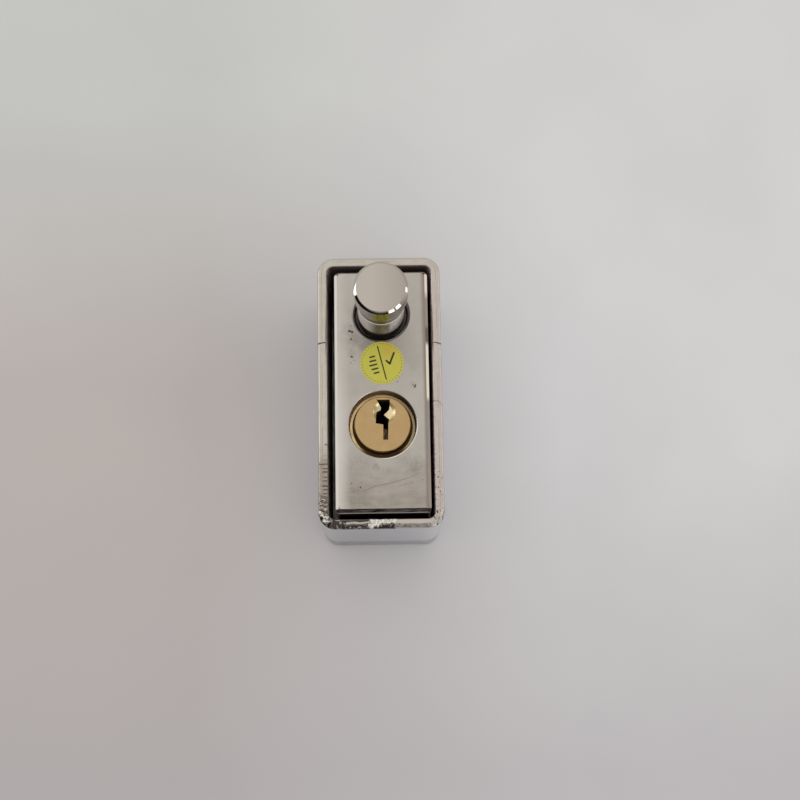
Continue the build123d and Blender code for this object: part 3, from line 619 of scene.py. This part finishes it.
# Each split: its side, its place at the inner and the outer edge, where it starts and ends, its depth.
splits = (
    (-1, 11.15, 10.9, 0.0, 2.0, 0.3),
    (1, 10.85, 10.6, 0.0, 2.0, 0.3),
    (1, -2.6, -3.45, 0.0, 2.0, 0.12),
    (-1, -12.2, -12.25, 0.0, 0.6, 0.2),
    (-1, -16.7, -16.6, 0.7, 1.9, 0.2),
)


def smooth(value, low, high):
    """A smooth step from 0 at low to 1 at high."""
    t = max(0.0, min(1.0, (value - low) / (high - low)))
    return t * t * (3 - 2 * t)


def between(value, low, high, softness):
    """Is 1 between low and high, with a smooth fall on both sides."""
    return smooth(value, low - softness, low) * (1 - smooth(value, high, high + softness))


def speck(at, size, low, high):
    """Flecks of about the given size in millimetres: 0 between them, 1 on them."""
    return smooth(noise.noise(at / size), low, high)


def side_stops(low, high, is_fine):
    """Stops along a straight side, close together where the rim is worked and wide apart elsewhere."""
    stops = [low]
    while stops[-1] < high - 0.05:
        stops.append(min(high, stops[-1] + (fine_step if is_fine(stops[-1]) else coarse_step)))
    return stops


def is_worked(y, side):
    """Whether a place on the left side, -1, or the right side, 1, has marks that need a fine mesh."""
    near_split = any(s == side and abs(y - (a + b) / 2) < 0.9 for s, a, b, _, _, _ in splits)
    return near_split or y < (-11.0 if side < 0 else -4.0)


def corner_stations(centre, start, steps):
    """Points round a quarter bend, without its ends, each with its outward normal."""
    stations = []
    for i in range(1, steps):
        angle = radians(start + 90 * i / steps)
        normal = (cos(angle), sin(angle))
        stations.append(((centre[0] + bend * normal[0], centre[1] + bend * normal[1]), normal))
    return stations


def sleeve_stations():
    """Points round the sleeve's inner outline, anticlockwise, each with its outward normal."""
    half_x, half_y = inner_half
    run_x, run_y = half_x - bend, half_y - bend
    right_stops = side_stops(-run_y, run_y, lambda y: is_worked(y, 1))
    left_stops = side_stops(-run_y, run_y, lambda y: is_worked(y, -1))
    stations = [((half_x, y), (1.0, 0.0)) for y in right_stops]
    stations += corner_stations((run_x, run_y), 0, 12)
    stations += [((-x, half_y), (0.0, 1.0)) for x in side_stops(-run_x, run_x, lambda x: False)]
    stations += corner_stations((-run_x, run_y), 90, 12)
    stations += [((-half_x, y), (-1.0, 0.0)) for y in reversed(left_stops)]
    stations += corner_stations((-run_x, -run_y), 180, 36)
    stations += [((x, -half_y), (0.0, -1.0)) for x in side_stops(-run_x, run_x, lambda x: True)]
    stations += corner_stations((run_x, -run_y), 270, 36)
    return stations


def rim_profile():
    """The wall's section from the inner foot over the rim to the outer foot.

    Each point is its distance out from the inside and its height."""
    section = [(0.0, z) for z in (foot_edge, 12.0, 24.0)]
    section += [(0.0, rim_top - below) for below in (5.0, 2.5, 1.6, 1.0, 0.6)]
    section += [(0.04, rim_top - 0.25), (0.12, rim_top - 0.09), (0.25, rim_top - 0.02)]
    section += [(0.25 + 0.1 * i, rim_top) for i in range(1, 11)]
    for i in range(1, 10):
        angle = radians(90 * i / 9)
        out = wall - rim_round + rim_round * sin(angle)
        section.append((out, rim_top - rim_round + rim_round * cos(angle)))
    section += [(wall, rim_top - below) for below in (1.2, 1.7, 2.5, 4.0, 8.0)]
    section += [(wall, 20.0), (wall, 10.0), (wall, foot_edge)]
    section += [(wall - foot_edge, 0.0), (foot_edge, 0.0)]
    return section


def split_marks(side, y, out):
    """The hairline splits. Like the marks below, it gives how deeply a point is cut, how black and how
    bright it is, and how finely it is chipped."""
    cut, black = 0.0, 0.0
    for split_side, inner_y, outer_y, first, last, depth in splits:
        if side == split_side:
            wander = 0.08 * noise.noise(Vector((out * 2, y, 0)))
            middle_y = inner_y + (outer_y - inner_y) * smooth(out, 0.9, 2.0) + wander
            opened = (1 - smooth(abs(y - middle_y), 0.04, 0.17)) * between(out, first, last, 0.1)
            cut += depth * opened
            black = max(black, opened * min(1.0, depth * 4))
    return cut, black, 0.0, 0.0


def left_marks(x, y, out, at, elsewhere):
    """File strokes low on the left side, and the chipped corner under them."""
    low_left = smooth(-y, 13.5, 18.5) * smooth(-x, 10.6, 11.6)
    ruined = smooth(-y, 22.0, 24.5) * smooth(-x, 10.4, 11.4)
    uneven = y + 0.45 * noise.noise(Vector((0.0, y * 0.9, 7.0)))
    stroke_end = 0.9 + 0.9 * noise.noise(Vector((3.0, y * 1.7, 0.0)))
    strokes = low_left * abs(sin(pi * uneven / file_pitch)) ** 7 * (1 - smooth(out, stroke_end, 1.3))
    corner = smooth(-y, 26.3, 26.9) * smooth(-x, 10.7, 11.3)
    chips = speck(at, 0.9, -0.05, 0.08)
    black = max(0.95 * strokes, corner * (1 - chips) * speck(elsewhere, 0.7, -0.4, -0.2))
    chipped = max(0.08 * smooth(-y, 16.5, 21.0) * low_left, 0.8 * ruined)
    return 0.15 * strokes, black, corner * chips, chipped


def in_right_corner(x, y):
    """How far a point belongs to the lower right corner."""
    return smooth(-y, 26.6, 27.6) * smooth(x, 10.4, 11.4)


def right_marks(x, y, out, at, elsewhere):
    """Pits along the right side, nicks on its inner edge, and the chipped corner under them."""
    corner = in_right_corner(x, y)
    side = smooth(-y, 14.0, 22.0) * smooth(x, 11.0, 12.0)
    side_dots = side * speck(at, 0.4, 0.43, 0.53) * between(out, 0.3, 1.6, 0.2)
    dots = max(corner * speck(at, 0.6, 0.3, 0.4), side_dots)
    nicks = smooth(-y, 4.0, 7.0) * smooth(x, 11.0, 12.0) * (1 - smooth(out, 0.05, 0.3))
    black = max(0.9 * dots, nicks * speck(at, 0.5, 0.15, 0.3))
    bright = corner * smooth(out, 1.1, 1.4) * speck(elsewhere, 0.5, 0.1, 0.25)
    return 0.0, black, bright, max(0.35 * corner, 0.1 * side)


def burnt_marks(foot, x, out, ragged, wavy, at):
    """The seared and burnt stretch left of the weld, with a groove, a bright streak and a torn outer edge."""
    seared = foot * between(x + 2.5 * noise.noise(at * 0.8), -11.4, -8.8, 0.25)
    line = foot * between(x, -9.9, -2.6, 0.2) * between(out, 0.1, 0.26, 0.06)
    run = foot * between(ragged, -8.9, -2.6, 0.3)
    groove = run * between(wavy, 0.36, 0.5, 0.08)
    burnt = run * (1 - smooth(wavy, 1.15, 1.3)) * (0.7 + 0.15 * smooth(x, -6.5, -4.5))
    streak = between(wavy, 0.68, 0.98, 0.1) * between(x + 1.2 * noise.noise(at * 0.7), -8.4, -3.2, 0.6)
    torn = run * smooth(wavy, 1.15, 1.3)
    black = max(
        0.95 * groove,
        burnt * (1 - 0.85 * streak),
        torn * (0.95 - 0.85 * speck(at, 0.3, 0.2, 0.42)),
        run * (1 - smooth(out, 0.02, 0.16)),
        seared * (1 - line) * (0.92 - 0.4 * speck(at, 0.5, 0.15, 0.35)),
    )
    return 0.12 * seared + 0.1 * groove + 0.3 * torn, black, 0.0, 0.0


def weld_marks(foot, x, y, out, ragged, wavy, at, elsewhere):
    """The weld's bead with soot under it, and the pitted stretch to its right."""
    bead = foot * between(ragged, -2.4, 2.6, 0.6)
    lower = 0.95 + 0.5 * noise.noise(Vector((x * 1.1, 0.0, 5.0))) + 0.9 * between(ragged, -2.6, -1.5, 0.3)
    lumps = 0.55 + 0.5 * noise.noise(at * 1.4) + 0.35 * noise.noise(at * 3.4)
    raised = 0.6 * bead * between(out, 0.0, lower, 0.25) * max(0.0, lumps)
    # Painted highlights on the bead.
    bright = bead * between(out, 0.05, lower, 0.15) * (0.3 + 0.7 * speck(at, 0.45, -0.1, 0.2))
    soot = bead * smooth(out, lower + 0.1, lower + 0.25)
    run = foot * smooth(ragged, 2.4, 3.2) * (1 - in_right_corner(x, y))
    pitted = run * between(wavy, 1.1, 1.85, 0.12) * (0.35 + 0.65 * speck(at, 0.24, -0.2, 0.3))
    black = max(soot * (0.97 - 0.8 * speck(elsewhere, 0.28, 0.25, 0.45)), 0.9 * pitted)
    return 0.25 * soot + 0.1 * pitted - raised, black, bright, 0.3 * run * smooth(out, 1.1, 1.3)


def worked_rim(point, normal, out, z):
    """What the file, the weld and the chips did to a point of the rim.

    Returns the new height, and how black, how bright and how finely speckled the point is."""
    x, y = point[0] + normal[0] * out, point[1] + normal[1] * out
    at = Vector((x, y, z))
    elsewhere = at + Vector((7.0, 3.0, 0.0))
    side = -1 if normal[0] < -0.7 else 1 if normal[0] > 0.7 else 0
    foot = smooth(-y, inner_half[1] - 0.5, inner_half[1] + 0.05)
    ragged = x + 1.4 * noise.noise(at * 0.9) + 0.5 * noise.noise(at * 2.6)
    wavy = out + 0.18 * noise.noise(at * 0.9) + 0.08 * noise.noise(at * 2.5)
    cuts, blacks, brights, chips = zip(
        split_marks(side, y, out),
        left_marks(x, y, out, at, elsewhere),
        right_marks(x, y, out, at, elsewhere),
        burnt_marks(foot, x, out, ragged, wavy, at),
        weld_marks(foot, x, y, out, ragged, wavy, at, elsewhere),
    )
    chipped = max(chips)
    crumbled = 0.2 * chipped * smooth(noise.turbulence(at * 1.8, 4, False), 0.6, 1.3)
    wave = 0.02 * noise.noise(at * 0.35)
    filed_step = 0.07 * smooth(out, 0.95, 1.2)
    rim = smooth(z, rim_top - 2.6, rim_top - 0.4)
    z += rim * (wave - filed_step - crumbled - sum(cuts))
    return z, max(blacks) * rim, max(brights) * rim, chipped * rim


def build_sleeve():
    """The bent strip as one closed mesh, with what its finish needs to know kept at each point."""
    stations = sleeve_stations()
    section = rim_profile()
    vertices = []
    kept = {"across": [], "black": [], "bright": [], "chipped": []}
    for point, normal in stations:
        for out, z in section:
            marks = (z, 0.0, 0.0, 0.0)
            if z > rim_top - 3.0:
                marks = worked_rim(point, normal, out, z)
            place = (point[0] + normal[0] * out, point[1] + normal[1] * out, marks[0])
            vertices.append([c / 1000 for c in place])
            for name, value in zip(kept, (out / wall, *marks[1:])):
                kept[name].append(value)
    count, ring = len(stations), len(section)
    faces = []
    for i in range(count):
        a, b = i * ring, (i + 1) % count * ring
        for j in range(ring):
            k = (j + 1) % ring
            faces.append((a + j, a + k, b + k, b + j))
    mesh = bpy.data.meshes.new("armour_sleeve_shell")
    mesh.from_pydata(vertices, [], faces)
    for name, values in kept.items():
        mesh.attributes.new(name, "FLOAT", "POINT").data.foreach_set("value", values)
    mesh.shade_smooth()
    return put_in_scene("armour_sleeve_shell", mesh)


def rim_colour(tree, place, x, y, across, on_rim, streaks):
    """The rim: streaky cream and pink, with painted shade where it rolls over, and grime low on the left."""
    rim = blend_colours(tree, ramp(tree, x, -12.0, 12.0), "#d2cfc5", "#d3cbc8")
    rim = blend_colours(tree, ramp(tree, across, 0.16, 0.06), rim, "#bdb2ad")
    broken = wear(tree, place, 5.0, 0.42, 0.55)
    hairline = chain(tree, "MULTIPLY", band(tree, across, 0.5, 0.53, 0.03), broken, 0.8)
    rim = blend_colours(tree, hairline, rim, "#a59c8e")
    rim = blend_colours(tree, chain(tree, "MULTIPLY", streaks, 0.35), rim, "#b9b2aa")
    roll_shade = chain(tree, "MULTIPLY", ramp(tree, across, 0.6, 0.8), 0.5)
    rim = blend_colours(tree, roll_shade, rim, "#b9b3a7")
    low_left = chain(tree, "MULTIPLY", ramp(tree, y, -11.5, -17.5), ramp(tree, x, -10.5, -11.5), on_rim)
    grubby = blend_colours(tree, streaks, "#b1a69b", "#9a9085")
    return blend_colours(tree, chain(tree, "MULTIPLY", low_left, 0.85), rim, grubby)


def plated_strip():
    """Bright chrome over filed steel: clear on the sides, darker to the left as painted shade, streaky on the
    rim, and no plating inside, where painted light makes it pale and painted shade darkens its far end.
    """
    material, tree, shader, place = surface("bright_chrome_filed_steel")
    across, black, bright, chipped = [add(tree, "Attribute", {}, attribute_name=name).outputs["Fac"]
                                      for name in ("across", "black", "bright", "chipped")]
    x, y, height = add(tree, "SeparateXYZ", {0: place}).outputs
    on_rim = ramp(tree, height, rim_top - 0.85, rim_top - 0.4)
    streaks = wear(tree, place, 1.6, 0.3, 0.7, Detail=3.0)
    # Painted shade: the outer walls are darker to the left.
    flanks_shaded_left = blend_colours(tree, ramp(tree, x, -10.0, 11.0), "#b6bbc3", "#d6dae0")
    colour = blend_colours(tree, on_rim, flanks_shaded_left, rim_colour(tree, place, x, y, across, on_rim, streaks))
    torn = squeeze(tree, place, 0.6, 1.0, 1.0)
    speckle = chain(tree, "MULTIPLY", wear(tree, torn, 0.3, 0.47, 0.58, Detail=2.0), chipped)
    glint = chain(tree, "MULTIPLY", wear(tree, torn, 0.45, 0.58, 0.64, Detail=1.0), chipped)
    # Painted highlights: glints on the chipped metal and bright spots on the bead and the right corner.
    colour = blend_colours(tree, chain(tree, "MAXIMUM", glint, bright), colour, "#f1eee8")
    soot = chain(tree, "MAXIMUM", speckle, black)
    colour = blend_colours(tree, soot, colour, "#231c1c")
    inside = ramp(tree, across, 0.03, 0.0)
    # The unplated lining is pale as painted light in the gaps, and dark at its far end as painted shade.
    lining = blend_colours(tree, ramp(tree, height, rim_top - 3.0, rim_top - 0.1), "#d8d0cc", "#e0d8d4")
    far_end_shade = ramp(tree, y, inner_half[1] - 1.5, inner_half[1] - 0.2)
    lining = blend_colours(tree, far_end_shade, lining, "#5a5150")
    feed(tree, shader, Base_Color=blend_colours(tree, inside, colour, lining))
    plating = chain(tree, "SUBTRACT", 1.0, chain(tree, "MAXIMUM", soot, inside))
    feed(tree, shader, Metallic=plating, Specular_IOR_Level=chain(tree, "MULTIPLY", plating, 0.5))
    upper = ramp(tree, height, rim_top - 1.4, rim_top - 0.8)
    outer_round = chain(tree, "MULTIPLY", ramp(tree, across, 0.7, 0.9), upper, 0.25)
    blur = chain(tree, "ADD", chain(tree, "MULTIPLY", on_rim, 0.12), chain(tree, "MULTIPLY", streaks, 0.06),
                 outer_round, 0.07)
    feed(tree, shader, Roughness=blur)
    waves = wear(tree, place, 6.0, 0.2, 0.8, Detail=2.0)
    file_marks = wear(tree, place, 0.3, 0.3, 0.75, Detail=3.0)
    relief = chain(tree, "ADD", chain(tree, "MULTIPLY", waves, 0.02),
                   chain(tree, "MULTIPLY", file_marks, on_rim, 0.008),
                   chain(tree, "MULTIPLY", file_marks, chipped, 0.06))
    relieve(tree, shader, relief)
    return material


sleeve = build_sleeve()
sleeve_finish = plated_strip()
sleeve.data.materials.append(sleeve_finish)
dress("armour_sleeve", sleeve_finish)
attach(sleeve, "case")
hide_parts("armour_sleeve")


# Inspection label: a round of yellow paper with a clear gloss coat, die cut and stuck on.
# A tick, a row of bars, a dividing line and a ring of short strokes are printed on it in
# black, all tilted by the same angle.
label_centre = middle("inspection_label")
label_top = corners("inspection_label")[1].z
print_tilt = radians(14)
ink_height = 0.012
ring_strokes, ring_inner, ring_outer = 40, 4.35, 4.6


def coated_paper():
    """Yellow paper under a gloss coat: even, a shade warmer at one edge where the glue came through."""
    material, tree, shader, place = surface("paper_gloss_printed", Roughness=0.42)
    mottle = wear(tree, place, 1.5, 0.3, 0.7, Detail=4.0)
    warm = spot(tree, flatten(tree, place), (label_centre.x + 1.4, label_centre.y + 3.0), 0.5, 2.2)
    colour = blend_colours(tree, chain(tree, "MULTIPLY", mottle, 0.25), "#d1ce53", "#c8c34e")
    colour = blend_colours(tree, chain(tree, "MULTIPLY", warm, 0.5), colour, "#d2ab45")
    feed(tree, shader, Base_Color=colour)
    relieve(tree, shader, chain(tree, "MULTIPLY", mottle, 0.01))
    return material


def ink():
    """Black printing ink, a little worn in the solids."""
    material, tree, shader, place = surface("printing_ink_black", Roughness=0.5)
    worn = wear(tree, place, 0.5, 0.4, 0.8, Detail=3.0)
    faded = blend_colours(tree, chain(tree, "MULTIPLY", worn, 0.3), "#2a2417", "#5a5226")
    feed(tree, shader, Base_Color=faded)
    return material


def stroke(mesh, start, end, width):
    """A printed bar between two points of the label, square at its ends."""
    run = (Vector(end) - Vector(start)).normalized()
    side = Vector((-run.y, run.x)) * width / 2
    turn = Matrix.Rotation(print_tilt, 2)
    outline = []
    for corner in (Vector(start) + side, Vector(start) - side, Vector(end) - side, Vector(end) + side):
        at = turn @ corner
        outline.append([(label_centre.x + at.x) / 1000, (label_centre.y + at.y) / 1000])
    low = [mesh.verts.new((*c, label_top / 1000)) for c in outline]
    high = [mesh.verts.new((*c, (label_top + ink_height) / 1000)) for c in outline]
    mesh.faces.new(high)
    for i in range(4):
        mesh.faces.new((low[i], low[(i + 1) % 4], high[(i + 1) % 4], high[i]))


def build_print():
    """The printed marks as thin bars of ink on the label: the line, the tick, the bars and the ring."""
    mesh = bmesh.new()
    stroke(mesh, (0.0, 4.0), (0.0, -4.0), 0.28)
    stroke(mesh, (1.0, 0.35), (1.75, -0.75), 0.42)
    stroke(mesh, (1.6, -0.72), (3.3, 1.7), 0.42)
    for i in range(-2, 3):
        stroke(mesh, (-1.1, i * 0.95), (-2.9 + 0.25 * abs(i), i * 0.95), 0.36)
    for i in range(ring_strokes):
        angle = 2 * pi * i / ring_strokes
        towards = Vector((cos(angle), sin(angle)))
        stroke(mesh, towards * ring_inner, towards * ring_outer, 0.12)
    data = bpy.data.meshes.new("label_print")
    mesh.to_mesh(data)
    mesh.free()
    data.materials.append(ink())
    return put_in_scene("label_print", data)


dress("inspection_label", coated_paper())
label_print = build_print()
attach(label_print, "case")


# Studio: a pale table top and a plain bright room with one dark side, where the camera
# stands. The metal needs that dark side for its black edges. The camera looks down from it.
table_half, table_drop = 3.0, 0.0001


def table_top():
    """Pale laminate, dull, a shade cooler towards the right and the far side, and lighter there and darker on
    the left and near side as painted light and shade. It is clear from underneath.
    """
    material, tree, shader, place = surface("laminate_matt", Roughness=0.6)
    x, y, _ = add(tree, "SeparateXYZ", {0: place}).outputs
    # Painted light and shade: the colours below brighten to the right and towards the far side.
    across = ramp(tree, x, -45.0, 45.0)
    near = blend_colours(tree, across, "#c0bdc2", "#cfcfd6")
    halfway = blend_colours(tree, across, "#ccc6c6", "#e8eaf0")
    far = blend_colours(tree, across, "#d9dee1", "#e6e9ed")
    colour = blend_colours(tree, ramp(tree, y, -85.0, -10.0), near, halfway)
    colour = blend_colours(tree, ramp(tree, y, 10.0, 85.0), colour, far)
    cloud = wear(tree, place, 40.0, 0.3, 0.7, Detail=2.0)
    colour = blend_colours(tree, chain(tree, "MULTIPLY", cloud, 0.12), colour, "#b2b1b8")
    feed(tree, shader, Base_Color=colour)
    underneath = add(tree, "NewGeometry", {}).outputs["Backfacing"]
    clear = add(tree, "BsdfTransparent", {})
    shown = add(tree, "MixShader", {0: underneath, 1: shader.outputs[0], 2: clear.outputs[0]})
    tree.links.new(shown.outputs[0], tree.nodes["Material Output"].inputs["Surface"])
    return material


table_mesh = bpy.data.meshes.new("table")
grid = bmesh.new()
bmesh.ops.create_grid(grid, x_segments=8, y_segments=8, size=table_half)
grid.to_mesh(table_mesh)
grid.free()
table_mesh.materials.append(table_top())
table = put_in_scene("table", table_mesh)
table.location.z = -table_drop

# Each stop is a share of a full turn, from the far side round by the left, and its colour.
wall_stops = (
    (0.0, "#96938f"), (0.155, "#a5a39e"), (0.178, "#ffffff"), (0.243, "#ffffff"), (0.256, "#0a0909"),
    (0.556, "#0a0909"), (0.567, "#ffffff"), (0.603, "#ffffff"), (0.61, "#4a4745"), (0.619, "#4a4745"),
    (0.626, "#ffffff"), (0.66, "#ffffff"), (0.67, "#6a6764"), (0.76, "#8f8c88"), (0.772, "#ffffff"),
    (0.79, "#ffffff"), (0.8, "#8f8c88"), (1.0, "#96938f"),
)
room_brightness = 3.0
world = bpy.data.worlds.new("studio")
world.use_nodes = True
bpy.context.scene.world = world
room = world.node_tree
towards = add(room, "SeparateXYZ", {0: add(room, "TexCoord", {}).outputs["Generated"]}).outputs
turn = chain(room, "ARCTAN2", towards[0], chain(room, "MULTIPLY", towards[1], -1.0))
round_room = chain(room, "ADD", chain(room, "DIVIDE", turn, 2 * pi), 0.5)
walls = add(room, "ValToRGB", {0: round_room})
while len(walls.color_ramp.elements) < len(wall_stops):
    walls.color_ramp.elements.new(0.5)
for element, (share, _) in zip(walls.color_ramp.elements, wall_stops):
    element.position = share
for element, (_, colour) in zip(walls.color_ramp.elements, wall_stops):
    element.color = linear(colour)
above_lamps = ramp(room, towards[2], 0.22, 0.32)
dimmed = {0: above_lamps, 6: walls.outputs[0], 7: linear("#96938f")}
plain_walls = add(room, "Mix", dimmed, data_type="RGBA", blend_type="DARKEN").outputs[2]
ceiling = blend_colours(room, ramp(room, towards[2], 0.24, 0.36), plain_walls, "#8d8a86")
camera_sees = add(room, "LightPath", {}).outputs["Is Camera Ray"]
seen = add(room, "Background", {0: linear("#c8c6c7"), 1: 1.0})
felt = add(room, "Background", {0: ceiling, 1: room_brightness})
lit = add(room, "MixShader", {0: camera_sees, 1: felt.outputs[0], 2: seen.outputs[0]})
room.links.new(lit.outputs[0], room.nodes["World Output"].inputs[0])

# The camera as fitted to the picture: its turns in radians, the point of the face that it looks
# at, and its distance from there in millimetres.
camera_turns = (-0.202, 0.006, 0.014)
camera_foot = Vector((2.306, -2.293, face_z))
camera_distance = 320.256
tilt = (Matrix.Rotation(camera_turns[2], 3, "Z") @ Matrix.Rotation(camera_turns[1], 3, "Y")
        @ Matrix.Rotation(camera_turns[0], 3, "X")).transposed()
camera_place = camera_foot + tilt @ Vector((0, 0, camera_distance))
camera_data = bpy.data.cameras.new("camera")
camera_data.lens = 64.35
camera_data.sensor_width = 36.0
camera_data.shift_x = 0.011875
camera = put_in_scene("camera", camera_data)
camera.matrix_world = Matrix.Translation(camera_place / 1000) @ tilt.to_4x4()
bpy.context.scene.camera = camera
bpy.context.scene.view_settings.view_transform = "Standard"
